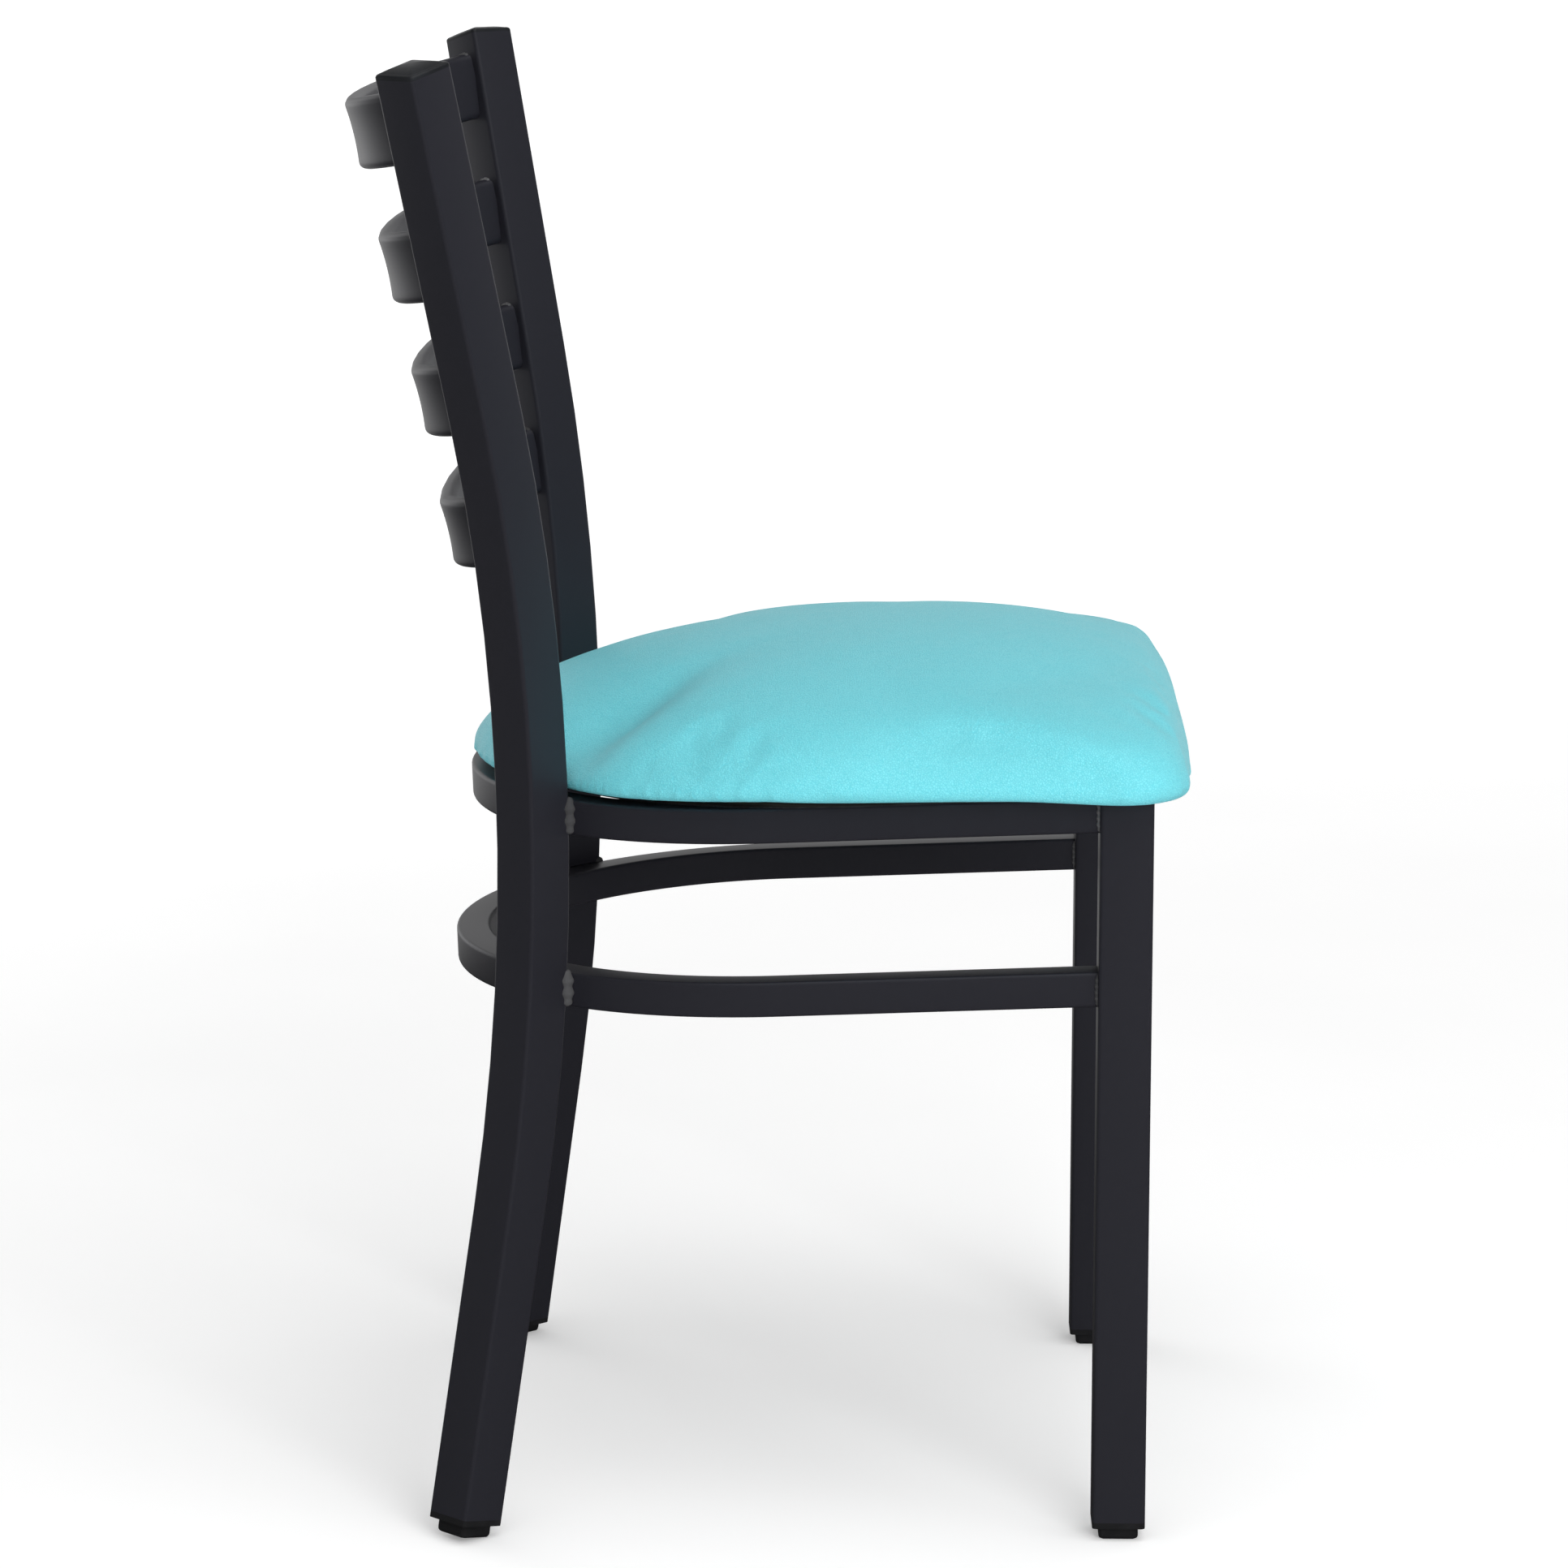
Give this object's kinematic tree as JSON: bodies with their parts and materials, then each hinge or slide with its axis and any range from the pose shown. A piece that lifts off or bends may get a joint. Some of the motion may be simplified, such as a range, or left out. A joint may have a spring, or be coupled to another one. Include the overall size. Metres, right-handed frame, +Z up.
{
  "type": "ladderback side chair",
  "caption": "Armless dining chair with a welded square-tube steel frame, bowed flat back slats between splayed rear posts, horseshoe stretcher and a domed padded seat",
  "frame": {"origin": "on the floor, at the middle of the chair's overall box", "axes": "+Z is up, the chair faces -Y, and X=0 is its plane of symmetry with the sitter's left at +X"},
  "size_m": [0.483, 0.4848, 0.8337],
  "materials": {
    "frame_paint": "satin black powder coat",
    "cap_plastic": "black moulded cap",
    "glide_plastic": "black nylon glide",
    "seat_vinyl": "seafoam blue-green upholstery vinyl with a fine leather grain",
    "seat_foam": "open-cell foam",
    "plywood": "raw plywood",
    "dust_cloth": "black non-woven cloth",
    "zinc_steel": "zinc-plated steel"
  },
  "bodies": {
    "root": {"rear_post_left": "frame_paint", "rear_post_right": "frame_paint", "front_leg_left": "frame_paint", "front_leg_right": "frame_paint", "seat_frame_hoop": "frame_paint", "stretcher_hoop": "frame_paint", "seat_front_rail": "frame_paint", "slat_top": "frame_paint", "slat_upper": "frame_paint", "slat_lower": "frame_paint", "slat_bottom": "frame_paint", "seat_tab_rear_left": "frame_paint", "seat_tab_rear_right": "frame_paint", "seat_tab_front_left": "frame_paint", "seat_tab_front_right": "frame_paint", "seat_frame_welds": "frame_paint", "stretcher_welds": "frame_paint", "post_cap_left": "cap_plastic", "post_cap_right": "cap_plastic", "rear_glide_left": "glide_plastic", "rear_glide_right": "glide_plastic", "front_glide_left": "glide_plastic", "front_glide_right": "glide_plastic", "seat_cover": "seat_vinyl", "seat_foam": "seat_foam", "seat_board": "plywood", "seat_dust_cover": "dust_cloth", "seat_screws": "zinc_steel", "board_inserts": "zinc_steel"}
  },
  "joints": []
}
